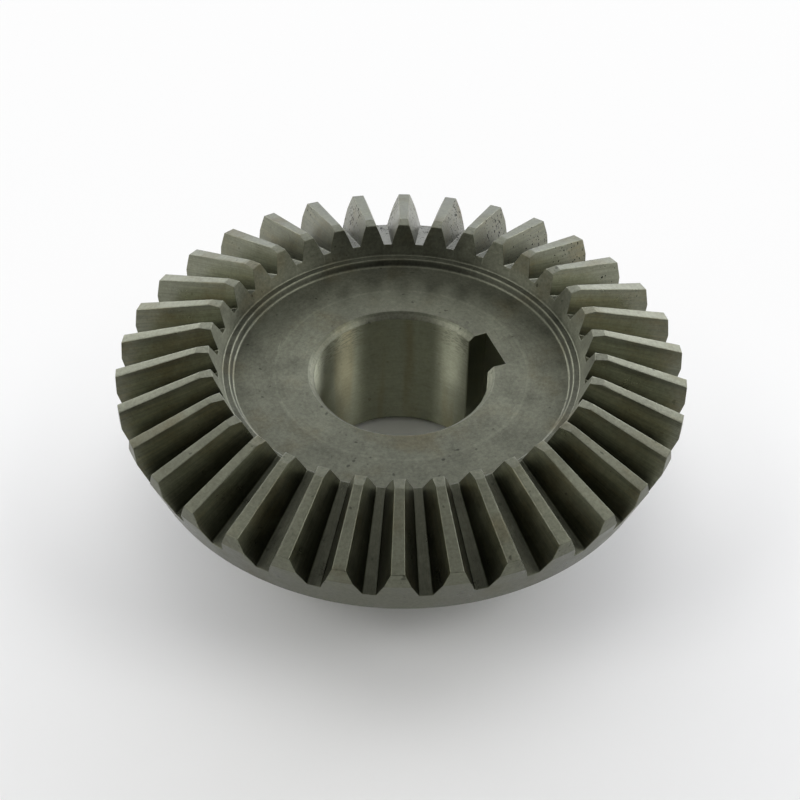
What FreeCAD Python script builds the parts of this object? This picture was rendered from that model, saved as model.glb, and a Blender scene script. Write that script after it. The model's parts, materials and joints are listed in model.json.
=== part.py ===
"""Straight bevel gear with a keyed bore, turned and cut from one steel blank.

Frame: the bore is along Z, the hub's back face stands on Z = 0, the teeth point up.
The keyway and one tooth space are centred on +X.
"""
import FreeCAD, Part
import math
import os
import Sketcher
from FreeCAD import Placement, Rotation, Vector

doc = FreeCAD.newDocument("bevel_gear_model")
sheet = doc.addObject("Spreadsheet::Sheet", "sizes")

# Driving dimensions: millimetres, degrees, counts, and factors of the module
DRIVING = [
    ("tooth_count", 34),
    ("mate_tooth_count", 13),
    ("tooth_module", 4),
    ("pressure_angle", 20),
    ("addendum_factor", 1.0),
    ("dedendum_factor", 1.25),
    ("root_fillet_factor", 0.3),
    ("backlash", 0.2),
    ("face_width", 24.5),
    ("heel_trim", 1.33),
    ("toe_trim", 0.84),
    ("backing", 35.5),
    ("web_recess", 9.4),
    ("ledge_rise", 1.9),
    ("ledge_width", 1.6),
    ("wall_lean", 0.8),
    ("rim_back_height", 23),
    ("hub_diameter", 78),
    ("hub_corner", 2),
    ("hub_chamfer", 1.5),
    ("bore_diameter", 42),
    ("bore_chamfer", 1.5),
    ("keyway_width", 12),
    ("keyway_depth", 3.7),
]

# Pitch, face and root cones share one apex above the teeth; every flank runs to it
CONES = [
    ("pitch_angle", "=atan(tooth_count / mate_tooth_count)"),
    ("pitch_radius", "=tooth_count * tooth_module / 2"),
    ("cone_distance", "=pitch_radius / sin(pitch_angle)"),
    ("apex_height", "=backing + cone_distance * cos(pitch_angle)"),
    ("addendum", "=addendum_factor * tooth_module"),
    ("dedendum", "=dedendum_factor * tooth_module"),
    ("tip_radius", "=pitch_radius + addendum * cos(pitch_angle)"),
    ("tip_height", "=backing + addendum * sin(pitch_angle)"),
    ("root_radius", "=pitch_radius - dedendum * cos(pitch_angle)"),
    ("root_height", "=backing - dedendum * sin(pitch_angle)"),
    ("face_slope", "=(apex_height - tip_height) / tip_radius"),
    ("toe_ratio", "=(cone_distance - face_width) / cone_distance"),
    ("toe_tip_radius", "=tip_radius * toe_ratio"),
    ("toe_tip_height", "=apex_height - (apex_height - tip_height) * toe_ratio"),
]

# Turned faces: radii from the bore's axis and heights above the hub's back face
TURNING = [
    ("outer_radius", "=tip_radius - heel_trim"),
    ("heel_tip_height", "=apex_height - face_slope * outer_radius"),
    ("heel_back_height", "=backing - (pitch_radius - outer_radius) * tan(pitch_angle)"),
    ("crown_height", "=toe_tip_height - toe_trim"),
    ("crown_outer_radius", "=(apex_height - crown_height) / face_slope"),
    ("crown_inner_radius", "=toe_tip_radius - toe_trim / tan(pitch_angle)"),
    ("web_height", "=crown_height - web_recess"),
    ("ledge_height", "=web_height + ledge_rise"),
    ("ledge_outer_radius", "=toe_tip_radius - (toe_tip_height - ledge_height) / tan(pitch_angle)"),
    ("ledge_inner_radius", "=ledge_outer_radius - ledge_width"),
    ("web_radius", "=ledge_inner_radius - wall_lean"),
    ("rim_back_radius", "=pitch_radius - (backing - rim_back_height) / tan(pitch_angle)"),
    ("hub_radius", "=hub_diameter / 2"),
    ("bore_radius", "=bore_diameter / 2"),
    ("keyway_reach", "=bore_radius + keyway_depth"),
    ("keyway_half_width", "=keyway_width / 2"),
]

# Tooth space, on the back cone rolled out flat, where its flanks are involutes.
# The loft's two sections lie past the heel and the toe by the overrun, so that it cuts clean through.
ROLLED = [
    ("rolled_radius", "=pitch_radius / cos(pitch_angle)"),
    ("rolled_base", "=rolled_radius * cos(pressure_angle)"),
    ("rolled_root", "=rolled_radius - dedendum"),
    ("space_turn", "=(pi * tooth_module / 2 + backlash) / (2 * rolled_radius)"),
    ("pitch_involute", "=tan(pressure_angle) - pressure_angle * pi / 180"),
    ("root_fillet", "=root_fillet_factor * tooth_module"),
    ("overrun", "=0.75 * tooth_module"),
    ("heel_scale", "=(cone_distance + overrun) / cone_distance"),
    ("toe_scale", "=(cone_distance - face_width - overrun) / cone_distance"),
]

# Three points steer each flank, by their distances from the back cone's own apex
FLANK_POINTS = [
    ("root", "=rolled_root"),
    ("middle", "=rolled_radius"),
    ("mouth", "=rolled_radius + addendum + overrun / 2"),
]


def flank_rows(point, rolled):
    """Sheet rows that place one point of the involute, across and up from the root line's middle."""
    return [
        (point + "_rolled", rolled),
        (point + "_pressure", "=acos(rolled_base / %s_rolled)" % point),
        (point + "_turn", "=space_turn - pitch_involute + tan({0}_pressure)"
                          " - {0}_pressure / 1deg * pi / 180".format(point)),
        (point + "_across", "={0}_rolled * sin({0}_turn * 180 / pi)".format(point)),
        (point + "_up", "={0}_rolled * cos({0}_turn * 180 / pi) - rolled_root".format(point)),
    ]


def fill_sheet():
    """Writes the driving dimensions as plain numbers, then what follows from them."""
    rows = [(alias, str(value)) for alias, value in DRIVING] + CONES + TURNING + ROLLED
    for point, rolled in FLANK_POINTS:
        rows += flank_rows(point, rolled)
    for number, (alias, text) in enumerate(rows, start=1):
        sheet.set("A%d" % number, alias)
        sheet.set("B%d" % number, text)
        sheet.setAlias("B%d" % number, alias)
    doc.recompute()


def size(alias):
    """A cell's value as a plain number."""
    value = sheet.get(alias)
    return float(getattr(value, "Value", value))


fill_sheet()
body = doc.addObject("PartDesign::Body", "bevel_gear")
body.Label = "bevel_gear"
origin = {feature.Role: feature for feature in body.Origin.OriginFeatures}


def new_sketch(name, plane):
    """An empty sketch on one of the body's origin planes."""
    sketch = body.newObject("Sketcher::SketchObject", name)
    sketch.AttachmentSupport = [(origin[plane], "")]
    sketch.MapMode = "FlatFace"
    return sketch


def formula(alias, scale=None):
    """The expression that reads a cell, times a section's scale if one is given."""
    return "sizes." + alias + (" * sizes." + scale if scale else "")


def amount(alias, scale=None):
    """The same as a plain number."""
    return size(alias) * (size(scale) if scale else 1.0)


def bind(sketch, name, alias, scale, kind, *where):
    """Adds a named dimension and ties it to the sheet."""
    row = sketch.addConstraint(Sketcher.Constraint(kind, *where, amount(alias, scale)))
    sketch.renameConstraint(row, name)
    sketch.setExpression("Constraints." + name, formula(alias, scale))


def pin_point(sketch, geometry, end, name, across, up, scale=None, side=1):
    """Ties a point to its distances across and up from the sketch's origin, None being zero."""
    start, point = (-1, 1), (geometry, end)
    if across:
        ends = start + point if side > 0 else point + start
        bind(sketch, name + "_x", across, scale, "DistanceX", *ends)
    else:
        sketch.addConstraint(Sketcher.Constraint("PointOnObject", geometry, end, -2))
    if up:
        bind(sketch, name + "_y", up, scale, "DistanceY", *start, *point)
    else:
        sketch.addConstraint(Sketcher.Constraint("PointOnObject", geometry, end, -1))


def closed_outline(sketch, corners):
    """A closed run of straight lines through named corners, each tied to the sheet."""
    points = [Vector(amount(across), amount(up) if up else 0, 0) for _, across, up in corners]
    count = len(corners)
    for index in range(count):
        sketch.addGeometry(Part.LineSegment(points[index], points[(index + 1) % count]), False)
    for index in range(count):
        sketch.addConstraint(Sketcher.Constraint("Coincident", index, 2, (index + 1) % count, 1))
    for index, (name, across, up) in enumerate(corners):
        pin_point(sketch, index, 1, name, across, up)


# The turned blank, as the half section beside its axis
blank_profile = new_sketch("blank_profile", "XZ_Plane")
closed_outline(blank_profile, [
    ("bore_back", "bore_radius", None),
    ("hub_back", "hub_radius", None),
    ("hub_front", "hub_radius", "rim_back_height"),
    ("rim_back", "rim_back_radius", "rim_back_height"),
    ("heel_back", "outer_radius", "heel_back_height"),
    ("heel_tip", "outer_radius", "heel_tip_height"),
    ("crown_outer", "crown_outer_radius", "crown_height"),
    ("crown_inner", "crown_inner_radius", "crown_height"),
    ("ledge_outer", "ledge_outer_radius", "ledge_height"),
    ("ledge_inner", "ledge_inner_radius", "ledge_height"),
    ("web_edge", "web_radius", "web_height"),
    ("bore_front", "bore_radius", "web_height"),
])
blank = body.newObject("PartDesign::Revolution", "blank")
blank.Profile = blank_profile
blank.ReferenceAxis = (blank_profile, ["V_Axis"])
blank.Angle = 360
doc.recompute()


def ring_edges(feature, rings):
    """Names of the feature's circular edges at the given radii and heights."""
    names = []
    for index, edge in enumerate(feature.Shape.Edges, start=1):
        if not isinstance(edge.Curve, Part.Circle):
            continue
        here = (edge.Curve.Radius, edge.Curve.Center.z)
        if any(math.dist(here, ring) < 1e-4 for ring in rings):
            names.append("Edge%d" % index)
    return names


def chamfer_rings(name, base, rings, alias):
    """A chamfer on turned edges, its size tied to the sheet; in a corner it adds a small cone."""
    feature = body.newObject("PartDesign::Chamfer", name)
    feature.Base = (base, ring_edges(base, rings))
    feature.setExpression("Size", formula(alias))
    doc.recompute()
    return feature


hub_root = chamfer_rings(
    "hub_root", blank, [(size("hub_radius"), size("rim_back_height"))], "hub_corner")
hub_edge = chamfer_rings(
    "hub_edge", hub_root, [(size("hub_radius"), 0)], "hub_chamfer")
bore_mouths = chamfer_rings(
    "bore_mouths", hub_edge,
    [(size("bore_radius"), 0), (size("bore_radius"), size("web_height"))], "bore_chamfer")


# Order of the tooth space's outline, and of the construction points that steer its flanks
FLOOR, RIGHT_FILLET, RIGHT_FLANK, MOUTH, LEFT_FLANK, LEFT_FILLET = range(6)


def flank_arc(scale, side):
    """The circle through one flank's three involute points, on the right or the left side."""
    root = Vector(side * amount("root_across", scale), 0, 0)
    middle = Vector(side * amount("middle_across", scale), amount("middle_up", scale), 0)
    mouth = Vector(side * amount("mouth_across", scale), amount("mouth_up", scale), 0)
    circle = Part.Arc(root, middle, mouth).toShape().Curve
    return circle.Center, circle.Radius, mouth


def half_space(scale, side):
    """Flank arc and root fillet arc of one side, each running anticlockwise."""
    centre, radius, mouth = flank_arc(scale, side)
    fillet = amount("root_fillet", scale)
    reach = math.sqrt((radius + fillet) ** 2 - (centre.y - fillet) ** 2)
    fillet_centre = Vector(centre.x - side * reach, fillet, 0)
    touch = math.atan2(fillet_centre.y - centre.y, fillet_centre.x - centre.x)
    top = math.atan2(mouth.y - centre.y, mouth.x - centre.x)
    floor = -math.pi / 2
    normal = Vector(0, 0, 1)
    flank_circle = Part.Circle(centre, normal, radius)
    fillet_circle = Part.Circle(fillet_centre, normal, fillet)
    if side > 0:
        flank = Part.ArcOfCircle(flank_circle, top, touch % (2 * math.pi))
        corner = Part.ArcOfCircle(fillet_circle, floor, touch % (2 * math.pi) - math.pi)
    else:
        flank = Part.ArcOfCircle(flank_circle, touch, top)
        corner = Part.ArcOfCircle(fillet_circle, touch + math.pi, floor + 2 * math.pi)
    return flank, corner, fillet_centre.x


def space_section(name, scale):
    """A section of one tooth space square to the pitch cone, its root line's middle at the origin."""
    sketch = new_sketch(name, "YZ_Plane")
    tilt = Rotation(Vector(1, 0, 0), 90 - size("pitch_angle"))
    sketch.AttachmentOffset = Placement(Vector(0, 0, 0), tilt)
    sketch.setExpression(
        "AttachmentOffset.Base.y",
        "sizes.apex_height - (sizes.apex_height - sizes.root_height) * sizes." + scale)
    sketch.setExpression("AttachmentOffset.Base.z", formula("root_radius", scale))
    sketch.setExpression("AttachmentOffset.Rotation.Angle", "90deg - sizes.pitch_angle")

    right_flank, right_corner, floor_end = half_space(scale, 1)
    left_flank, left_corner, floor_start = half_space(scale, -1)
    mouth_half = amount("mouth_across", scale)
    mouth_up = amount("mouth_up", scale)
    outline = [
        Part.LineSegment(Vector(floor_start, 0, 0), Vector(floor_end, 0, 0)),
        right_corner,
        right_flank,
        Part.LineSegment(Vector(mouth_half, mouth_up, 0), Vector(-mouth_half, mouth_up, 0)),
        left_flank,
        left_corner,
    ]
    for piece in outline:
        sketch.addGeometry(piece, False)

    for kind, *ends in (
            ("Tangent", FLOOR, 2, RIGHT_FILLET, 1),
            ("Tangent", RIGHT_FILLET, 2, RIGHT_FLANK, 2),
            ("Coincident", RIGHT_FLANK, 1, MOUTH, 1),
            ("Coincident", MOUTH, 2, LEFT_FLANK, 2),
            ("Tangent", LEFT_FLANK, 1, LEFT_FILLET, 1),
            ("Tangent", LEFT_FILLET, 2, FLOOR, 1),
            ("PointOnObject", FLOOR, 1, -1),
            ("PointOnObject", FLOOR, 2, -1)):
        sketch.addConstraint(Sketcher.Constraint(kind, *ends))
    for side, word, fillet, flank, mouth_end in (
            (1, "right", RIGHT_FILLET, RIGHT_FLANK, 1),
            (-1, "left", LEFT_FILLET, LEFT_FLANK, 2)):
        bind(sketch, word + "_fillet", "root_fillet", scale, "Radius", fillet)
        pin_point(sketch, flank, mouth_end, word + "_mouth", "mouth_across", "mouth_up", scale, side)
        for point, up in (("root", None), ("middle", "middle_up")):
            place = Vector(side * amount(point + "_across", scale), amount(up, scale) if up else 0, 0)
            steer = sketch.addGeometry(Part.Point(place), True)
            pin_point(sketch, steer, 1, word + "_" + point, point + "_across", up, scale, side)
            sketch.addConstraint(Sketcher.Constraint("PointOnObject", steer, 1, flank))
    return sketch


# Tooth spaces: one is lofted from heel to toe, so that its flanks run to the apex
heel_section = space_section("heel_section", "heel_scale")
toe_section = space_section("toe_section", "toe_scale")
doc.recompute()
tooth_space = body.newObject("PartDesign::SubtractiveLoft", "tooth_space")
tooth_space.Profile = heel_section
tooth_space.Sections = [toe_section]
tooth_space.Ruled = True
doc.recompute()

tooth_spaces = body.newObject("PartDesign::PolarPattern", "tooth_spaces")
tooth_spaces.Originals = [tooth_space]
tooth_spaces.Axis = (origin["Z_Axis"], [""])
tooth_spaces.Angle = 360
tooth_spaces.setExpression("Occurrences", formula("tooth_count"))
body.Tip = tooth_spaces
doc.recompute()

# Keyway, broached through the bore with square corners
keyway_profile = new_sketch("keyway_profile", "XY_Plane")
for start, finish in (((0, -1), (1, -1)), ((1, -1), (1, 1)), ((1, 1), (0, 1)), ((0, 1), (0, -1))):
    corners = [Vector(reach * size("keyway_reach"), side * size("keyway_half_width"), 0)
               for reach, side in (start, finish)]
    keyway_profile.addGeometry(Part.LineSegment(*corners), False)
for index in range(4):
    keyway_profile.addConstraint(Sketcher.Constraint("Coincident", index, 2, (index + 1) % 4, 1))
for index in (0, 2):
    keyway_profile.addConstraint(Sketcher.Constraint("Horizontal", index))
keyway_profile.addConstraint(Sketcher.Constraint("Vertical", 1))
keyway_profile.addConstraint(Sketcher.Constraint("Symmetric", 3, 1, 3, 2, -1, 1))
bind(keyway_profile, "reach", "keyway_reach", None, "DistanceX", -1, 1, 0, 2)
bind(keyway_profile, "width", "keyway_width", None, "DistanceY", 1, 1, 1, 2)
keyway = body.newObject("PartDesign::Pocket", "keyway")
keyway.Profile = keyway_profile
keyway.Type = "ThroughAll"
keyway.Midplane = True
doc.recompute()
body.Tip = keyway
doc.recompute()


def check_model():
    """Stops on a failed feature, a bad solid or a cut that took nothing away."""
    for item in doc.Objects:
        bad = {"Invalid", "Error"} & set(item.State)
        assert not bad, "%s is %s" % (item.Name, sorted(bad))
    gear = body.Shape
    assert not gear.isNull() and gear.isValid() and len(gear.Solids) == 1
    cuts = (hub_root, hub_edge, bore_mouths, tooth_space, tooth_spaces, keyway)
    volumes = [feature.Shape.Volume for feature in cuts]
    assert all(later < earlier for earlier, later in zip(volumes, volumes[1:])), volumes
    return gear


gear = check_model()
os.makedirs("parts", exist_ok=True)
gear.exportStep("parts/%s.step" % body.Label)
bounds = gear.optimalBoundingBox()
print("%s: %.0f mm3, %.1f x %.1f x %.1f mm" % (
    body.Label, gear.Volume, bounds.XLength, bounds.YLength, bounds.ZLength))
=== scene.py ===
"""Straight bevel gear with a keyed bore, finished as machined steel on a pale studio floor.

Lengths are metres in the part's own frame: the bore is along Z, the hub's back face is at Z = 0,
and one tooth space and the keyway are centred on +X.
"""
import json
import math
from types import SimpleNamespace

import bmesh
import bpy
import numpy as np
from bpy.props import FloatProperty, FloatVectorProperty, IntProperty, PointerProperty
from mathutils import Matrix, Vector


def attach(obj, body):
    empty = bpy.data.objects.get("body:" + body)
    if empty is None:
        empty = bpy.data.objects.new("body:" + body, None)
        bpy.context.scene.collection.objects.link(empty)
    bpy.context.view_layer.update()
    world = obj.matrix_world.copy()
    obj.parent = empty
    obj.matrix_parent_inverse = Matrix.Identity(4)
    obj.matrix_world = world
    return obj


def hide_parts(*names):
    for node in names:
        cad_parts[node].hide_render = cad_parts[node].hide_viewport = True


bl_info = {
    "name": "Bevel Gear",
    "version": (1, 0, 0),
    "blender": (4, 5, 0),
    "location": "3D View > Sidebar > Gear",
    "description": "A straight bevel gear with a keyed bore, and a studio to show it in",
    "category": "Add Mesh",
}

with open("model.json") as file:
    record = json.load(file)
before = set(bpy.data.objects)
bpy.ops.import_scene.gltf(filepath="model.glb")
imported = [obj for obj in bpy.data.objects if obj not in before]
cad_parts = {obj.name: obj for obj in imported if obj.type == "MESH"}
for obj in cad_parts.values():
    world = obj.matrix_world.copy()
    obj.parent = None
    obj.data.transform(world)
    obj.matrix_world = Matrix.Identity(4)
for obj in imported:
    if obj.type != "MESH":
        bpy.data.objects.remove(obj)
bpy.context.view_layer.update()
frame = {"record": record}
CAD_NODE = "bevel_gear"
MOUNTS = {mount["name"]: mount for mount in frame["record"]["mounts"]}
BORE_RADIUS = MOUNTS["bore"]["dims"]["r_mm"] / 1000
MM = 0.001


def length(name, description, default):
    """A length in metres with a plain default."""
    return FloatProperty(name=name, description=description, default=default, min=0.0,
                         precision=5, subtype="DISTANCE", unit="LENGTH")


class GearSizes(bpy.types.PropertyGroup):
    """Driving sizes of the gear, the same as the solid's."""

    tooth_count: IntProperty(name="Teeth", description="Number of teeth", default=34, min=8)
    mate_tooth_count: IntProperty(
        name="Mate's teeth", description="Teeth of the pinion that sets the cone angles",
        default=13, min=5)
    tooth_module: length("Module", "Pitch diameter for each tooth", 4 * MM)
    pressure_angle: FloatProperty(
        name="Pressure angle", description="Slant of the flanks at the pitch cone",
        default=math.radians(20), subtype="ANGLE", unit="ROTATION")
    addendum_factor: FloatProperty(name="Addendum", description="In modules", default=1.0)
    dedendum_factor: FloatProperty(name="Dedendum", description="In modules", default=1.25)
    backlash: length("Backlash", "Widening of each tooth space at the pitch cone", 0.2 * MM)
    face_width: length("Face width", "Length of the teeth along the pitch cone", 24.5 * MM)
    heel_trim: length("Heel trim", "Radius turned off the teeth's outer tips", 1.33 * MM)
    toe_trim: length("Toe trim", "Height turned off the teeth's inner tips", 0.84 * MM)
    backing: length("Backing", "Hub's back face to the pitch circle", 35.5 * MM)
    web_recess: length("Web recess", "Depth of the web below the crown", 9.4 * MM)
    ledge_rise: length("Ledge rise", "Height of the ledge above the web", 1.9 * MM)
    ledge_width: length("Ledge width", "Width of the ledge around the web", 1.6 * MM)
    wall_lean: length("Wall lean", "Outward lean of the wall below the ledge", 0.8 * MM)
    rim_back_height: length("Rim back", "Height of the rim's flat back", 23 * MM)
    hub_diameter: length("Hub diameter", "Diameter of the hub behind the teeth", 78 * MM)
    hub_fillet: length("Hub fillet", "Radius between hub and rim", 2 * MM)
    hub_chamfer: length("Hub chamfer", "Chamfer on the hub's end", 1.5 * MM)
    bore_diameter: length("Bore", "Diameter of the bore", 2 * BORE_RADIUS)
    bore_chamfer: length("Bore chamfer", "Chamfer at both ends of the bore", 1.5 * MM)
    keyway_width: length("Keyway width", "Width of the keyway", 12 * MM)
    keyway_depth: length("Keyway depth", "Depth of the keyway beyond the bore", 3.7 * MM)
    root_fillet: length("Root fillet", "Radius at the bottom of the flanks, at the heel", 0.4 * MM)
    edge_break: length("Edge break", "Rounding of the teeth's sharp edges", 0.14 * MM)


def gear_form(sizes):
    """Radii, heights and slopes that follow from the sizes.

    A slope is a fall below the cones' apex for each unit of radius, so a line of one slope
    runs to the apex.
    """
    pitch_angle = math.atan2(sizes.tooth_count, sizes.mate_tooth_count)
    rise = Vector((math.cos(pitch_angle), math.sin(pitch_angle)))
    pitch = Vector((sizes.tooth_count * sizes.tooth_module / 2, sizes.backing))
    cone_distance = pitch.x / rise.y
    apex_height = pitch.y + cone_distance * rise.x
    addendum = sizes.addendum_factor * sizes.tooth_module
    dedendum = sizes.dedendum_factor * sizes.tooth_module
    tip = pitch + addendum * rise
    root = pitch - dedendum * rise
    toe_ratio = 1 - sizes.face_width / cone_distance
    toe_tip = Vector((tip.x * toe_ratio, apex_height - (apex_height - tip.y) * toe_ratio))
    face_slope = (apex_height - tip.y) / tip.x

    def on_cone(corner, radius=None, height=None):
        """The point of the back cone or the toe cone through a corner, at a radius or a height."""
        if radius is None:
            return Vector((corner.x + (height - corner.y) / math.tan(pitch_angle), height))
        return Vector((radius, corner.y + (radius - corner.x) * math.tan(pitch_angle)))

    outer_radius = tip.x - sizes.heel_trim
    crown_height = toe_tip.y - sizes.toe_trim
    web_height = crown_height - sizes.web_recess
    ledge_outer = on_cone(toe_tip, height=web_height + sizes.ledge_rise)
    ledge_inner = Vector((ledge_outer.x - sizes.ledge_width, ledge_outer.y))
    return SimpleNamespace(
        rise=rise, root=root, apex_height=apex_height, face_slope=face_slope,
        addendum=addendum, dedendum=dedendum, rolled_radius=pitch.x / rise.x,
        heel_tip=Vector((outer_radius, apex_height - face_slope * outer_radius)),
        heel_back=on_cone(pitch, radius=outer_radius),
        rim_back=on_cone(pitch, height=sizes.rim_back_height),
        below_root=on_cone(pitch, height=(sizes.rim_back_height + root.y) / 2),
        crown_outer=Vector(((apex_height - crown_height) / face_slope, crown_height)),
        crown_inner=on_cone(toe_tip, height=crown_height),
        ledge_outer=ledge_outer, ledge_inner=ledge_inner,
        web_edge=Vector((ledge_inner.x - sizes.wall_lean, web_height)), web_height=web_height,
        bore_radius=sizes.bore_diameter / 2, hub_radius=sizes.hub_diameter / 2)


def slope_of(form, point):
    """Slope of the apex line through a point of the half section."""
    return (form.apex_height - point.y) / point.x


def apex_line_meets(form, slope, start, end):
    """Where the apex line of a slope crosses the straight line from start to end."""
    along = end - start
    share = (form.apex_height - slope * start.x - start.y) / (slope * along.x + along.y)
    return start + share * along


# Faces of the half section in order, from the bore's back end round to the bore's wall
SECTION_FACETS = (
    "back_mouth", "hub_back", "hub_chamfer", "hub_side", "rim_back", "back_cone", "back_cone",
    "heel_band", "tooth", "tooth", "tooth", "tooth", "tooth", "crown", "toe_cone", "ledge", "wall",
    "web", "front_mouth", "bore")
FACETS = sorted(set(SECTION_FACETS) | {"land"})
TOOTH_STEPS = SECTION_FACETS.count("tooth")


def half_section(form, sizes, slope):
    """Corners of the half section in a plane where the tooth surface has this slope.

    Corners above the tooth surface fall onto it, at the heel and at the toe.
    """
    bore, hub, chamfer, mouth = form.bore_radius, form.hub_radius, sizes.hub_chamfer, sizes.bore_chamfer
    on_band = slope < slope_of(form, form.heel_back)
    on_crown = slope < slope_of(form, form.crown_inner)
    heel_line = (form.heel_back, form.heel_tip) if on_band else (form.rim_back, form.heel_back)
    toe_line = (form.crown_inner, form.crown_outer) if on_crown else (form.ledge_outer, form.crown_inner)
    heel = apex_line_meets(form, slope, *heel_line)
    toe = apex_line_meets(form, slope, *toe_line)
    flat = [
        Vector((bore, mouth)), Vector((bore + mouth, 0)), Vector((hub - chamfer, 0)),
        Vector((hub, chamfer)), Vector((hub, sizes.rim_back_height)), form.rim_back, form.below_root,
        form.heel_back if on_band else heel]
    tooth = [heel.lerp(toe, step / TOOTH_STEPS) for step in range(TOOTH_STEPS + 1)]
    front = [
        form.crown_inner if on_crown else toe, form.ledge_outer, form.ledge_inner, form.web_edge,
        Vector((bore + mouth, form.web_height)), Vector((bore, form.web_height - mouth))]
    return flat + tooth + front


def flank_point(form, sizes, rolled):
    """A point of the involute flank, across and up in the plane square to the pitch cone."""
    base = form.rolled_radius * math.cos(sizes.pressure_angle)
    pressure = math.acos(base / rolled)
    involute = math.tan(sizes.pressure_angle) - sizes.pressure_angle
    half_space = (math.pi * sizes.tooth_module / 2 + sizes.backlash) / (2 * form.rolled_radius)
    turn = half_space - involute + math.tan(pressure) - pressure
    return Vector((rolled * math.sin(turn),
                   rolled * math.cos(turn) - form.rolled_radius + form.dedendum))


def azimuth_and_slope(form, point):
    """Azimuth and slope of the apex line through a point of that plane."""
    x = form.root.x + point.y * form.rise.x
    height = form.root.y + point.y * form.rise.y
    return math.atan2(point.x, x), (form.apex_height - height) / math.hypot(x, point.x)


FILLET_STEPS = 3
FLANK_STEPS = (4, 2, 1)
FLANK_SAMPLES = 400


def space_columns(form, sizes):
    """Azimuths and slopes across half a pitch, from a tooth space's middle to a tooth's middle."""
    root_radius = form.rolled_radius - form.dedendum
    tip_radius = form.rolled_radius + 1.5 * form.addendum
    flank = [flank_point(form, sizes, rolled)
             for rolled in np.linspace(root_radius, tip_radius, FLANK_SAMPLES)]
    direction = (flank[1] - flank[0]).normalized()
    steepness = math.atan2(direction.y, direction.x)
    tangent = sizes.root_fillet / math.tan((math.pi - steepness) / 2)
    centre = Vector((flank[0].x - tangent, sizes.root_fillet))
    arc = [centre + sizes.root_fillet * Vector((math.sin(angle), -math.cos(angle)))
           for angle in np.linspace(0, steepness, FILLET_STEPS + 1)]
    columns = [azimuth_and_slope(form, point) for point in [Vector((0, 0))] + arc]

    azimuths, slopes = zip(*(azimuth_and_slope(form, point) for point in flank))
    stops = [columns[-1][1], slope_of(form, form.heel_back), slope_of(form, form.crown_inner),
             form.face_slope]
    for start, end, steps in zip(stops, stops[1:], FLANK_STEPS):
        for slope in np.linspace(start, end, steps + 1)[1:]:
            azimuth = np.interp(-slope, [-value for value in slopes], azimuths)
            columns.append((float(azimuth), float(slope)))
    tip_azimuth, middle = columns[-1][0], math.pi / sizes.tooth_count
    columns += [((tip_azimuth + middle) / 2, form.face_slope), (middle, form.face_slope)]
    return columns


def sweep_pitch(bm, form, sizes):
    """One pitch of the wheel: the half section carried round from tooth middle to tooth middle."""
    row = bm.verts.layers.int.new("row")
    facet = bm.faces.layers.int.new("facet")
    half = space_columns(form, sizes)
    columns = [(-azimuth, slope) for azimuth, slope in reversed(half[1:])] + half

    def place(verts, azimuth, slope):
        section = half_section(form, sizes, slope)
        for vert in verts:
            corner = section[vert[row]]
            vert.co = (corner.x * math.cos(azimuth), corner.x * math.sin(azimuth), corner.y)

    verts = [bm.verts.new() for _ in SECTION_FACETS]
    for index, vert in enumerate(verts):
        vert[row] = index
    place(verts, *columns[0])
    edges = [bm.edges.new((verts[index - 1], vert)) for index, vert in enumerate(verts)]
    for (_, old_slope), (azimuth, slope) in zip(columns, columns[1:]):
        grown = bmesh.ops.extrude_edge_only(bm, edges=edges)["geom"]
        place([item for item in grown if isinstance(item, bmesh.types.BMVert)], azimuth, slope)
        edges = [item for item in grown if isinstance(item, bmesh.types.BMEdge)]
        on_land = old_slope == slope == form.face_slope
        for edge in edges:
            rows = sorted(vert[row] for vert in edge.verts)
            index = rows[0] if rows[1] - rows[0] == 1 else rows[1]
            name = SECTION_FACETS[index]
            if name == "tooth" and on_land:
                name = "land"
            for face in edge.link_faces:
                face[facet] = FACETS.index(name)


# Finishes of the wheel's faces, by how each was machined
FINISHES = ("turned", "cut", "bored", "broached")
FACET_FINISH = {"tooth": "cut", "bore": "bored"}

TURNED_EDGES = {
    ("rim_back", "hub_side"): (2.0 * MM, 5),
    ("web", "wall"): (0.40 * MM, 2),
    ("wall", "ledge"): (0.30 * MM, 2),
    ("ledge", "toe_cone"): (0.25 * MM, 2),
    ("rim_back", "back_cone"): (0.30 * MM, 2),
    ("hub_back", "hub_chamfer"): (0.20 * MM, 2),
    ("hub_chamfer", "hub_side"): (0.20 * MM, 2),
    ("hub_back", "back_mouth"): (0.15 * MM, 2),
    ("back_mouth", "bore"): (0.15 * MM, 2),
    ("front_mouth", "bore"): (0.15 * MM, 2),
    ("front_mouth", "web"): (0.15 * MM, 2),
}
TOOTH_FACETS = {"tooth", "land", "heel_band", "back_cone", "crown", "toe_cone"}
MERGE_DISTANCE = 0.002 * MM


def round_edges(bm, wanted, offset, segments):
    """Rounds the edges whose two faces are the wanted pair of facets."""
    facet = bm.faces.layers.int["facet"]
    edges = []
    for edge in bm.edges:
        names = {FACETS[face[facet]] for face in edge.link_faces}
        if len(names) == 2 and wanted(names):
            edges.append(edge)
    bmesh.ops.bevel(bm, geom=edges, offset=offset, offset_type="OFFSET", segments=segments,
                    profile=0.5, affect="EDGES", clamp_overlap=False, loop_slide=True, material=-1)


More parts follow.
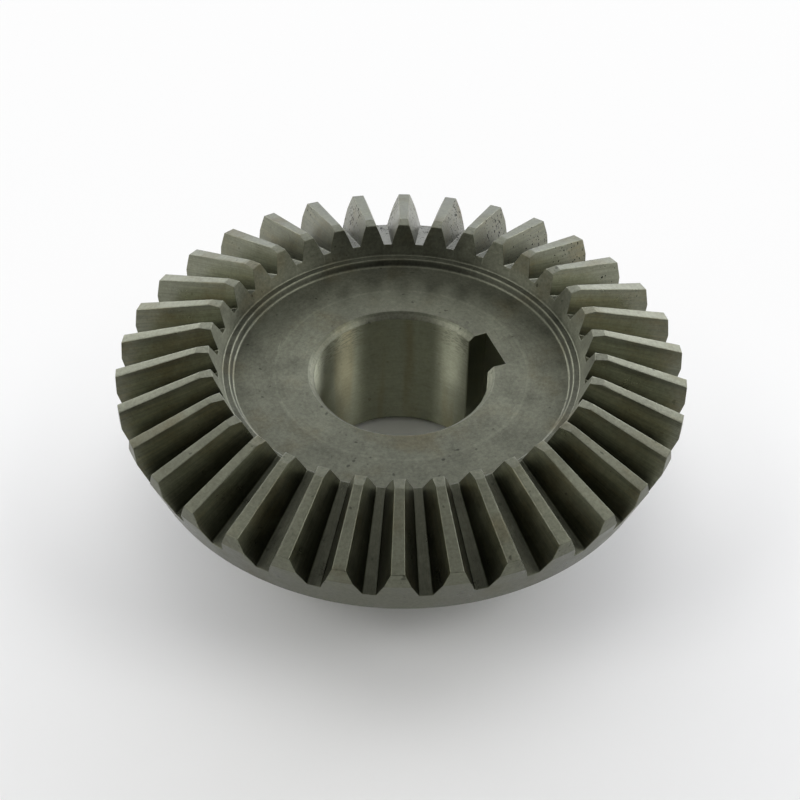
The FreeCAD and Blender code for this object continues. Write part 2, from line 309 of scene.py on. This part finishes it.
def wheel_mesh(form, sizes):
    """The whole toothed wheel, before its keyway."""
    bm = bmesh.new()
    sweep_pitch(bm, form, sizes)
    copies = sizes.tooth_count - 1
    bmesh.ops.spin(bm, geom=bm.verts[:] + bm.edges[:] + bm.faces[:], cent=(0, 0, 0), axis=(0, 0, 1),
                   angle=math.tau * copies / sizes.tooth_count, steps=copies, use_duplicate=True)
    bmesh.ops.remove_doubles(bm, verts=bm.verts[:], dist=MERGE_DISTANCE)
    bmesh.ops.recalc_face_normals(bm, faces=bm.faces[:])
    facet = bm.faces.layers.int["facet"]
    for face in bm.faces:
        face.material_index = FINISHES.index(FACET_FINISH.get(FACETS[face[facet]], "turned"))
    round_edges(bm, lambda names: names <= TOOTH_FACETS, sizes.edge_break, 2)
    for pair, (offset, segments) in TURNED_EDGES.items():
        round_edges(bm, lambda names, pair=pair: names == set(pair), offset, segments)
    mesh = bpy.data.meshes.new("wheel")
    bm.to_mesh(mesh)
    bm.free()
    return mesh


def keyway_cutter(form, sizes):
    """The broach: the keyway's section carried through the hub, flared where it meets the faces."""
    half = sizes.keyway_width / 2
    reach = form.bore_radius + sizes.keyway_depth
    mouth = math.sqrt(form.bore_radius ** 2 - half ** 2)
    flare = sizes.edge_break
    levels = [(-MM, flare), (0, flare), (flare, 0), (form.web_height - flare, 0),
              (form.web_height, flare), (form.web_height + MM, flare)]
    bm = bmesh.new()
    rim = []
    for height, grow in levels:
        side = half + grow
        outline = [(0, -side - 2 * flare), (mouth - flare, -side - 2 * flare), (mouth + flare, -side),
                   (reach + grow, -side), (reach + grow, side), (mouth + flare, side),
                   (mouth - flare, side + 2 * flare), (0, side + 2 * flare)]
        ring = [bm.verts.new((x, y, height)) for x, y in outline]
        loop = [bm.edges.new((ring[index - 1], vert)) for index, vert in enumerate(ring)]
        if rim:
            bmesh.ops.bridge_loops(bm, edges=rim + loop)
        else:
            bmesh.ops.contextual_create(bm, geom=loop)
        rim = loop
    bmesh.ops.contextual_create(bm, geom=rim)
    bmesh.ops.recalc_face_normals(bm, faces=bm.faces[:])
    mesh = bpy.data.meshes.new("broach")
    bm.to_mesh(mesh)
    bm.free()
    for _ in FINISHES:
        mesh.materials.append(None)
    for polygon in mesh.polygons:
        polygon.material_index = FINISHES.index("broached")
    return mesh


def place_object(name, data):
    """A scene object at the origin that holds a mesh, a lamp or a camera."""
    piece = bpy.data.objects.new(name, data)
    bpy.context.scene.collection.objects.link(piece)
    return piece


def modified_mesh(piece):
    """The piece's mesh with its modifiers applied."""
    depsgraph = bpy.context.evaluated_depsgraph_get()
    return bpy.data.meshes.new_from_object(
        piece.evaluated_get(depsgraph), preserve_all_data_layers=True, depsgraph=depsgraph)


SHARP_ANGLE = math.radians(50)


def mark_sharp_edges(mesh):
    """Smooth shading, but for steep corners and the outline of the keyway."""
    mesh.shade_smooth()
    bm = bmesh.new()
    bm.from_mesh(mesh)
    for edge in bm.edges:
        finishes = {FINISHES[face.material_index] for face in edge.link_faces}
        broach_line = len(finishes) == 2 and "broached" in finishes
        edge.smooth = not (broach_line or edge.calc_face_angle() > SHARP_ANGLE)
    bm.to_mesh(mesh)
    bm.free()


def build_gear(sizes, name):
    """The finished wheel as one object at the origin."""
    form = gear_form(sizes)
    gear = place_object(name, wheel_mesh(form, sizes))
    for finish in FINISHES:
        gear.data.materials.append(FINISH_STEELS[finish]())
    broach = place_object("broach", keyway_cutter(form, sizes))
    cut = gear.modifiers.new("keyway", "BOOLEAN")
    cut.operation = "DIFFERENCE"
    cut.solver = "EXACT"
    cut.object = broach
    gear.data = modified_mesh(gear)
    gear.modifiers.clear()
    bpy.data.objects.remove(broach)
    mark_sharp_edges(gear.data)
    weighted = gear.modifiers.new("flat faces", "WEIGHTED_NORMAL")
    weighted.mode = "FACE_AREA_WITH_ANGLE"
    weighted.keep_sharp = True
    gear.data = modified_mesh(gear)
    gear.modifiers.clear()
    return gear


class Looks(bpy.types.PropertyGroup):
    """Colours of the steel and the studio, and the strength of its light."""

    steel: FloatVectorProperty(name="Steel", description="Colour of the machined steel", subtype="COLOR",
                               default=(0.159, 0.164, 0.122), min=0, max=1)
    oil: FloatVectorProperty(name="Oil", description="Colour of the old oil on the steel", subtype="COLOR",
                             default=(0.125, 0.107, 0.058), min=0, max=1)
    pit: FloatVectorProperty(name="Pits", description="Colour inside the corroded pits", subtype="COLOR",
                             default=(0.012, 0.011, 0.009), min=0, max=1)
    floor: FloatVectorProperty(name="Floor", description="Colour of the studio floor", subtype="COLOR",
                               default=(0.90, 0.90, 0.89), min=0, max=1)
    light: FloatProperty(name="Light", description="Strength of all the lamps", default=1.0, min=0)


class Wire:
    """A shader socket that can be used in sums, each of which adds its Math node."""

    def __init__(self, sheet, socket):
        self.sheet = sheet
        self.socket = socket

    def maths(self, operation, *values):
        return self.sheet.node("ShaderNodeMath", {"operation": operation}, dict(enumerate(values)))

    def __add__(self, other):
        return self.maths("ADD", self, other)

    def __sub__(self, other):
        return self.maths("SUBTRACT", self, other)

    def __rsub__(self, other):
        return self.maths("SUBTRACT", other, self)

    def __mul__(self, other):
        return self.maths("MULTIPLY", self, other)

    def __truediv__(self, other):
        return self.maths("DIVIDE", self, other)

    def __rtruediv__(self, other):
        return self.maths("DIVIDE", other, self)

    def __pow__(self, other):
        return self.maths("POWER", self, other)

    __radd__ = __add__
    __rmul__ = __mul__

    def rise(self, low, high):
        """Goes smoothly from 0 at low to 1 at high."""
        return self.sheet.node("ShaderNodeMapRange", {"interpolation_type": "SMOOTHSTEP"},
                               {"Value": self, "From Min": low, "From Max": high})

    def size(self):
        """The value without its sign."""
        return self.maths("ABSOLUTE", self)

    def greater(self, other):
        return self.maths("MAXIMUM", self, other)

    def above(self, limit):
        return self.maths("GREATER_THAN", self, limit)


class Sheet:
    """The nodes of one material or world."""

    def __init__(self, tree):
        self.tree = tree

    def node(self, kind, settings=None, sockets=None, output=0):
        """Adds a node, with its settings first and then the values or links of its sockets."""
        node = self.tree.nodes.new(kind)
        for name, value in (settings or {}).items():
            setattr(node, name, value)
        for name, value in (sockets or {}).items():
            self.feed(node.inputs[name], value)
        return Wire(self, node.outputs[output])

    def feed(self, socket, value):
        """Links a wire to a socket, or sets a constant on it."""
        if isinstance(value, Wire):
            self.tree.links.new(value.socket, socket)
        else:
            socket.default_value = value

    def noise(self, place, scale, detail, roughness):
        """Noise around a half, with this many forms to the metre."""
        return self.node("ShaderNodeTexNoise", {"noise_dimensions": "3D"},
                         {"Vector": place, "Scale": scale, "Detail": detail, "Roughness": roughness})

    def rays(self, *names):
        """1 for each named kind of ray and 0 for the others."""
        path = self.node("ShaderNodeLightPath").socket.node
        return [Wire(self, path.outputs[name]) for name in names]

    def vector(self, x, y, z):
        return self.node("ShaderNodeCombineXYZ", None, {0: x, 1: y, 2: z})

    def split(self, place):
        """The three coordinates of a place."""
        parts = self.node("ShaderNodeSeparateXYZ", None, {0: place}).socket.node.outputs
        return [Wire(self, part) for part in parts]

    def behind(self, place):
        """How far a place or a direction lies towards the back of the studio."""
        return self.node("ShaderNodeVectorMath", {"operation": "DOT_PRODUCT"},
                         {0: place, 1: studio_direction(0, 0)}, output=1)

    def colour_mix(self, share, first, second):
        return self.node("ShaderNodeMix", {"data_type": "RGBA"}, {0: share, 6: first, 7: second}, output=2)

    def colour_times(self, colour, factor):
        """A colour made lighter or darker by a number that varies over the surface."""
        colour = colour if isinstance(colour, Wire) else colour[:3]
        return self.node("ShaderNodeVectorMath", {"operation": "SCALE"}, {0: colour, "Scale": factor})


# Turns the drawn-out sheen from along the rings to across them
QUARTER_TURN = 0.25


class Steel:
    """What all the machined finishes share: the place on the wheel, stains and grain."""

    def __init__(self, name):
        self.material = bpy.data.materials.new(name)
        self.material.use_nodes = True
        self.sheet = Sheet(self.material.node_tree)
        self.shader = self.material.node_tree.nodes["Principled BSDF"]
        self.looks = bpy.context.scene.gear_looks
        self.form = gear_form(bpy.context.scene.gear_sizes)
        self.place = self.sheet.node("ShaderNodeTexCoord", output=3)
        self.x, self.y, self.z = self.sheet.split(self.place)
        self.radius = (self.x * self.x + self.y * self.y) ** 0.5
        self.slope = (self.form.apex_height - self.z) / self.radius
        self.colour = (*self.looks.steel, 1)
        self.tone = 1.0
        self.roughness = 0.32
        self.height = None

    def towards(self, angle):
        """Distance from the axis in a direction on the wheel, in degrees round from the keyway."""
        turn = math.radians(angle)
        return self.x * math.cos(turn) + self.y * math.sin(turn)

    def band_place(self, level, spread):
        """A place for noise that changes with the level, and only slowly round the axis."""
        return self.sheet.vector(self.x / self.radius * spread, self.y / self.radius * spread, level)

    def mottle(self, amount):
        """Cloudy marks of handling and drying oil, a few millimetres across."""
        cloud = self.sheet.noise(self.place, 120, 6, 0.72)
        self.tone = self.tone * (1 + (cloud - 0.5) * amount)
        self.roughness = self.roughness + (cloud - 0.5) * (0.5 * amount)

    def grain(self, amount):
        """Fine grain under a millimetre, with small dark specks here and there."""
        speckle = self.sheet.noise(self.place, 1300, 3, 0.7)
        self.tone = self.tone * (1 + (speckle - 0.5) * amount)
        specks = self.sheet.noise(self.place, 620, 1, 0.4).rise(0.72, 0.80)
        self.tone = self.tone * (1 - specks * amount * 0.55)

    def oil(self, patches, share):
        """Brown film where patches is over a half."""
        film = patches.rise(0.50, 0.72) * share
        self.colour = self.sheet.colour_mix(film, self.colour, (*self.looks.oil, 1))
        self.roughness = self.roughness + film * 0.08

    def scratches(self):
        """A few fine bright scratches, in two directions."""
        for turn in (0.5, 2.1):
            place = self.sheet.node("ShaderNodeVectorRotate", {"rotation_type": "Z_AXIS"},
                                    {"Vector": self.place, "Angle": turn})
            x, y, z = self.sheet.split(place)
            line = self.sheet.noise(self.sheet.vector(x, y * 0.035, z), 1900, 1, 0.4).rise(0.76, 0.80)
            here = self.sheet.noise(self.place, 130 + 20 * turn, 1, 0.4).rise(0.58, 0.66)
            self.tone = self.tone * (1 + line * here * 0.45)

    def raise_by(self, height):
        """Adds to the fine relief, in shares of the relief's depth."""
        self.height = height if self.height is None else self.height + height

    def finish(self, anisotropic, relief):
        """The material, with its sheen drawn out across the rings and a relief of this depth."""
        sheet, shader = self.sheet, self.shader
        sheet.feed(shader.inputs["Base Color"], sheet.colour_times(self.colour, self.tone))
        sheet.feed(shader.inputs["Roughness"], self.roughness)
        shader.inputs["Metallic"].default_value = 1.0
        shader.inputs["Anisotropic"].default_value = anisotropic
        shader.inputs["Anisotropic Rotation"].default_value = QUARTER_TURN
        normal = sheet.node("ShaderNodeBump", None,
                            {"Strength": 1.0, "Distance": relief, "Height": self.height})
        sheet.feed(shader.inputs["Normal"], normal)
        return self.material


WASHER_RADIUS = 30.5 * MM
# Width of the smoother band on the outside of the teeth, whose colour is also darkened a little as painted
# shade
HEEL_SHEEN_WIDTH = 6 * MM


def turned_steel():
    """Lathe-turned faces, with fine rings round the axis and the trace of a washer."""
    steel = Steel("turned_steel")
    sheet = steel.sheet
    form = steel.form
    steel.roughness = 0.48
    steel.mottle(0.95)
    steel.grain(0.95)
    rings = sheet.noise(steel.band_place(steel.radius + steel.z * 0.8, 0.006), 2600, 3, 0.7)
    steel.tone = steel.tone * (1 + (rings - 0.5) * 0.34)
    steel.raise_by(rings)

    past_washer = (steel.radius - WASHER_RADIUS) / MM
    trace = past_washer.rise(-0.4, 0.0) * (1 - past_washer.rise(0.1, 0.8))
    steel.tone = steel.tone * (1.03 - 0.08 * past_washer.rise(-0.2, 0.2) + 0.16 * trace)

    web_rim, ledge_rim, wall_rim = form.web_edge.x, form.ledge_inner.x, form.ledge_outer.x
    # The web face is made darker, and the wall and ledge of the step round it are darkened as painted
    # shade.
    web = 1 - steel.radius.rise(web_rim, web_rim + MM)
    ledge = (steel.radius.rise(web_rim, web_rim + 0.3 * MM)
             * (1 - steel.radius.rise(wall_rim, wall_rim + 0.4 * MM)))
    # Bright rings at the three rounded corners of the step round the web are painted highlights.
    painted_edge_highlights = sum(highlight_weight * (1 - (steel.radius - rim).size().rise(0.05 * MM, 0.25 * MM))
               for rim, highlight_weight in ((web_rim, 0.3), (ledge_rim, 1.2), (wall_rim, 1.0)))
    front = steel.z.above(form.web_height - 0.5 * MM)
    # On the front face: a darker web, painted shade on the step's wall and ledge, and painted highlights
    # on its corners.
    steel.tone = steel.tone * (1 - front * (0.20 * web + 0.42 * ledge - 0.38 * painted_edge_highlights))

    heel_start = form.heel_tip.x - HEEL_SHEEN_WIDTH
    heel = (steel.radius.rise(heel_start, heel_start + MM)
            * steel.slope.rise(form.face_slope + 0.004, form.face_slope + 0.012))
    # The heel band is made smoother, and its colour is darkened a little as painted shade.
    steel.tone = steel.tone * (1 - 0.12 * heel)
    steel.roughness = steel.roughness - 0.14 * heel
    steel.oil(sheet.noise(steel.place, 55, 4, 0.6), 0.55)
    steel.scratches()
    return steel.finish(anisotropic=0.5, relief=0.014 * MM)


# Where the root begins and where the lower flank is darkened as painted shade, in shares of the tooth's
# depth
ROOT_DEPTHS = (0.837, 0.942)
PAINTED_SHADE_DEPTHS = (0.206, 0.907)
# The side of the wheel that corroded, in degrees round from the keyway
PITTED_ANGLE = 55


def cut_steel():
    """Planed flanks and roots, with streaks along the teeth and corroded pits."""
    steel = Steel("cut_steel")
    sheet = steel.sheet
    lengthwise = steel.band_place(steel.slope + steel.radius * 1.2, 1)
    grooves = sheet.noise(lengthwise, 420, 4, 0.75)
    streaks = sheet.noise(lengthwise, 90, 4, 0.7)
    tooth_depth = slope_of(steel.form, steel.form.root) - steel.form.face_slope
    depth = (steel.slope - steel.form.face_slope) / tooth_depth
    root = depth.rise(*ROOT_DEPTHS)
    low = (depth + (streaks - 0.5) * 0.351).rise(*PAINTED_SHADE_DEPTHS)
    steel.mottle(0.8)
    steel.grain(0.60)
    lines = (grooves - 0.5) * 0.8 + (streaks.rise(0.40, 0.62) - 0.5) * 0.30 * (1 - root)
    # The lower flanks and the roots of the tooth spaces are darkened as painted shade.
    steel.tone = steel.tone * (1.17 + lines - 0.28 * low - 0.2 * root)
    steel.raise_by(grooves)
    stains = sheet.noise(steel.place, 90, 5, 0.6) * 0.6 + streaks * 0.4 + 0.05
    steel.oil(stains * (1 - 0.3 * root), 0.65)

    spots = sheet.noise(steel.place, 1350, 1, 0.5)
    crowd = sheet.noise(steel.place, 140, 2, 0.5)
    pitted = steel.towards(PITTED_ANGLE).rise(30 * MM, 58 * MM)
    pits = (spots + crowd * 0.35 + pitted * 0.24).rise(1.045, 1.08)
    steel.colour = sheet.colour_mix(pits, steel.colour, (*steel.looks.pit, 1))
    steel.roughness = steel.roughness + pits * 0.4
    steel.raise_by(pits * -1.5)
    return steel.finish(anisotropic=0, relief=0.022 * MM)


# The middle of the half of the bore that chattered, in degrees round from the keyway
CHATTER_ANGLE = 69


def bored_steel():
    """The bore's wall, its colour lightened as painted light, with the rings and chatter of its boring
    bar.
    """
    steel = Steel("bored_steel")
    sheet = steel.sheet
    # The bore's colour is raised 2.3 times, painted light in the deep bore.
    steel.tone = 2.3
    steel.roughness = 0.42
    steel.mottle(0.50)
    steel.grain(0.50)
    rings = sheet.noise(steel.band_place(steel.z, 0.002), 2200, 3, 0.75)
    steel.tone = steel.tone * (1 + (rings - 0.5) * 0.45)
    steel.raise_by(rings)

    below_mouth = (steel.form.web_height - steel.z) / MM
    dashes = sheet.noise(steel.band_place(steel.z, 0.006), 2400, 1, 0.5)
    sides = steel.towards(CHATTER_ANGLE - 90).size().rise(8 * MM, 12 * MM)
    marked = sides * steel.towards(CHATTER_ANGLE).above(0)
    chatter = dashes.rise(0.50, 0.58) * (1 - below_mouth.rise(4.0, 11.0)) * marked
    steel.tone = steel.tone * (1 - chatter * 0.30)
    steel.raise_by(chatter * -0.5)
    steel.oil(sheet.noise(sheet.vector(steel.x, steel.y, steel.z * 0.15), 130, 2, 0.5), 0.5)
    return steel.finish(anisotropic=1, relief=0.008 * MM)


def broached_steel():
    """The keyway, with streaks along the broach's stroke."""
    steel = Steel("broached_steel")
    grooves = steel.sheet.noise(steel.sheet.vector(steel.x, steel.y, steel.z * 0.03), 2600, 3, 0.7)
    steel.tone = 1.6
    steel.mottle(0.25)
    steel.tone = steel.tone * (1 + (grooves - 0.5) * 0.3)
    steel.raise_by(grooves)
    return steel.finish(anisotropic=0, relief=0.012 * MM)


FINISH_STEELS = {
    "turned": turned_steel, "cut": cut_steel, "bored": bored_steel, "broached": broached_steel}


class GEAR_OT_wheel(bpy.types.Operator):
    """Builds the finished wheel in place of the plain solid"""

    bl_idname = "gear.wheel"
    bl_label = "Bevel Gear"
    bl_options = {"REGISTER", "UNDO"}

    def execute(self, context):
        gear = build_gear(context.scene.gear_sizes, "finished_gear")
        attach(gear, "root")
        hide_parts(CAD_NODE)
        return {"FINISHED"}


class GEAR_OT_studio(bpy.types.Operator):
    """Sets up the floor, the light and the camera"""

    bl_idname = "gear.studio"
    bl_label = "Studio"
    bl_options = {"REGISTER", "UNDO"}

    def execute(self, context):
        scene = context.scene
        build_floor()
        light_world(scene)
        for name, box in SOFTBOXES.items():
            build_softbox(name, *box)
        place_camera(scene)
        scene.view_settings.view_transform = "Standard"
        return {"FINISHED"}


FLOOR_HALF = 3.0
# Painted light on the floor: it turns white towards the back of the studio, clear of the gear.
PAINTED_BACK_LIGHT_RISE = (-70 * MM, 90 * MM)
PAINTED_BACK_LIGHT_CLEAR = (50 * MM, 85 * MM)
PAINTED_BACK_LIGHT_SHARE = 0.9
BACKDROP_LEVEL = 0.97
DISTANCE_FADE = (0.35, 1.0)


def studio_direction(azimuth, elevation):
    """A direction from the gear, in degrees, with azimuth 0 towards the back of the studio."""
    level = math.cos(math.radians(elevation))
    turn = math.radians(azimuth)
    return (Matrix.Rotation(CAMERA_AZIMUTH, 3, "Z")
            @ Vector((math.sin(turn) * level, math.cos(turn) * level, math.sin(math.radians(elevation)))))


def floor_material(colour):
    """A matt floor painted lighter towards the back as painted light, and white far away, with the shadow
    kept near it.
    """
    material = bpy.data.materials.new("studio_floor")
    material.use_nodes = True
    sheet = Sheet(material.node_tree)
    matt = material.node_tree.nodes["Principled BSDF"]
    matt.inputs["Base Color"].default_value = (*colour, 1)
    matt.inputs["Roughness"].default_value = 0.9
    matt.inputs["Specular IOR Level"].default_value = 0.1
    camera_ray, glossy_ray, transmission_ray = sheet.rays(
        "Is Camera Ray", "Is Glossy Ray", "Is Transmission Ray")
    mirrored = glossy_ray.greater(transmission_ray)
    place = sheet.node("ShaderNodeTexCoord", output=3)
    behind = sheet.behind(place)
    from_axis = sheet.node("ShaderNodeVectorMath", {"operation": "LENGTH"}, {0: place}, output=1)
    # Painted light: the floor turns white towards the back, clear of the gear.
    painted_back_light = behind.rise(*PAINTED_BACK_LIGHT_RISE) * from_axis.rise(*PAINTED_BACK_LIGHT_CLEAR) * PAINTED_BACK_LIGHT_SHARE
    share = (painted_back_light * camera_ray.greater(mirrored)).greater(
        from_axis.rise(*DISTANCE_FADE) * camera_ray)
    white = sheet.node("ShaderNodeEmission", None, {"Color": (1, 1, 1, 1), "Strength": BACKDROP_LEVEL})
    mixed = sheet.node("ShaderNodeMixShader", None,
                       {0: share, 1: Wire(sheet, matt.outputs[0]), 2: white})
    sheet.feed(material.node_tree.nodes["Material Output"].inputs["Surface"], mixed)
    return material


def build_floor():
    """A wide pale floor at the foot of the hub."""
    bm = bmesh.new()
    bmesh.ops.create_grid(bm, x_segments=1, y_segments=1, size=FLOOR_HALF)
    mesh = bpy.data.meshes.new("floor")
    bm.to_mesh(mesh)
    bm.free()
    floor = place_object("floor", mesh)
    mesh.materials.append(floor_material(bpy.context.scene.gear_looks.floor))


# Softboxes as the gear sees them: azimuth and elevation, width and height in degrees, brightness,
# and how cool their light is, from 0 to 1
SOFTBOXES = {
    "back_low": (0, 14, 42, 13, 3.0, 1),
    "back_middle": (0, 26, 38, 12, 4.6, 0),
    "back_left": (-40, 19, 38, 26, 4.6, 0.1),
    "back_right": (40, 19, 38, 26, 5.6, 0.2),
    "left_side": (-72, 38, 26, 26, 0.9, 0),
    "right_side": (70, 38, 26, 26, 0.7, 0),
    "left_front": (-112, 38, 24, 28, 4.4, 0),
    "right_front": (103, 38, 24, 28, 4.3, 0),
    "left_high": (-50, 60, 44, 20, 0.7, 0),
    "right_high": (50, 60, 44, 20, 0.8, 0),
    "top": (0, 82, 30, 30, 1.05, 0),
    "front_high": (175, 50, 60, 26, 0.42, 0),
}
COOL_LIGHT = Vector((0.96, 1.00, 1.28))
LAMP_DISTANCE = 2.0
WORLD_LEVEL = 0.03
HORIZON_LEVEL = 1.0
HORIZON_TOP = (0.25, 0.45)
HORIZON_START = (-0.7, -0.2)
HORIZON_END = (0.2, 0.5)


def build_softbox(name, azimuth, elevation, width, height, brightness, cool):
    """A soft lamp that covers this much of the view from the gear at this brightness."""
    lamp = bpy.data.lights.new(name, "AREA")
    lamp.shape = "RECTANGLE"
    lamp.color = Vector((1, 1, 1)).lerp(COOL_LIGHT, cool)
    lamp.size = 2 * LAMP_DISTANCE * math.tan(math.radians(width / 2))
    lamp.size_y = 2 * LAMP_DISTANCE * math.tan(math.radians(height / 2))
    lamp.energy = math.pi * lamp.size * lamp.size_y * brightness * bpy.context.scene.gear_looks.light
    direction = studio_direction(azimuth, elevation)
    box = place_object(name, lamp)
    box.visible_camera = False
    facing = direction.to_track_quat("Z", "Y").to_matrix().to_4x4()
    box.matrix_world = Matrix.Translation(direction * LAMP_DISTANCE) @ facing


def light_world(scene):
    """An even dim room that is white to the camera, with a brighter horizon beside the gear."""
    world = bpy.data.worlds.new("studio")
    world.use_nodes = True
    scene.world = world
    sheet = Sheet(world.node_tree)
    direction = sheet.node("ShaderNodeTexCoord")
    height = sheet.split(direction)[2]
    behind = sheet.behind(direction)
    horizon = ((1 - height.rise(*HORIZON_TOP)) * behind.rise(*HORIZON_START)
               * (1 - behind.rise(*HORIZON_END)))
    back = world.node_tree.nodes["Background"]
    back.inputs["Color"].default_value = (1, 1, 1, 1)
    room = WORLD_LEVEL + horizon * HORIZON_LEVEL
    sheet.feed(back.inputs["Strength"], room.greater(sheet.rays("Is Camera Ray")[0]))


CAMERA_ELEVATION = math.radians(42.765)
CAMERA_AZIMUTH = math.radians(-21.27)
CAMERA_ROLL = math.radians(1.116)
CAMERA_LENS = 74.456
CAMERA_PLACE = (-108.23 * MM, -277.50 * MM, 302.34 * MM)


def place_camera(scene):
    """The camera at the photograph's viewing angle."""
    data = bpy.data.cameras.new("camera")
    data.lens = CAMERA_LENS
    data.sensor_width = 36
    camera = place_object("camera", data)
    back = Vector((0, -math.cos(CAMERA_ELEVATION), math.sin(CAMERA_ELEVATION)))
    right = Vector((1, 0, 0))
    up = back.cross(right)
    right_rolled = right * math.cos(CAMERA_ROLL) + up * math.sin(CAMERA_ROLL)
    up_rolled = up * math.cos(CAMERA_ROLL) - right * math.sin(CAMERA_ROLL)
    turn = Matrix.Rotation(CAMERA_AZIMUTH, 3, "Z")
    axes = Matrix((turn @ right_rolled, turn @ up_rolled, turn @ back)).transposed()
    camera.matrix_world = Matrix.Translation(CAMERA_PLACE) @ axes.to_4x4()
    scene.camera = camera


class GEAR_PT_sidebar(bpy.types.Panel):
    """Buttons for the gear and its studio, with their sizes and looks"""

    bl_idname = "GEAR_PT_sidebar"
    bl_label = "Bevel Gear"
    bl_space_type = "VIEW_3D"
    bl_region_type = "UI"
    bl_category = "Gear"

    def draw(self, context):
        for settings, cls in ((context.scene.gear_sizes, GEAR_OT_wheel),
                              (context.scene.gear_looks, GEAR_OT_studio)):
            column = self.layout.column(align=True)
            for name in settings.__annotations__:
                column.prop(settings, name)
            self.layout.operator(cls.bl_idname)


CLASSES = (GearSizes, Looks, GEAR_OT_wheel, GEAR_OT_studio, GEAR_PT_sidebar)


def register():
    for cls in CLASSES:
        bpy.utils.register_class(cls)
    bpy.types.Scene.gear_sizes = PointerProperty(type=GearSizes)
    bpy.types.Scene.gear_looks = PointerProperty(type=Looks)


def unregister():
    del bpy.types.Scene.gear_looks
    del bpy.types.Scene.gear_sizes
    for cls in reversed(CLASSES):
        bpy.utils.unregister_class(cls)


def main():
    register()
    bpy.ops.gear.wheel()
    bpy.ops.gear.studio()


if __name__ == "__main__":
    main()
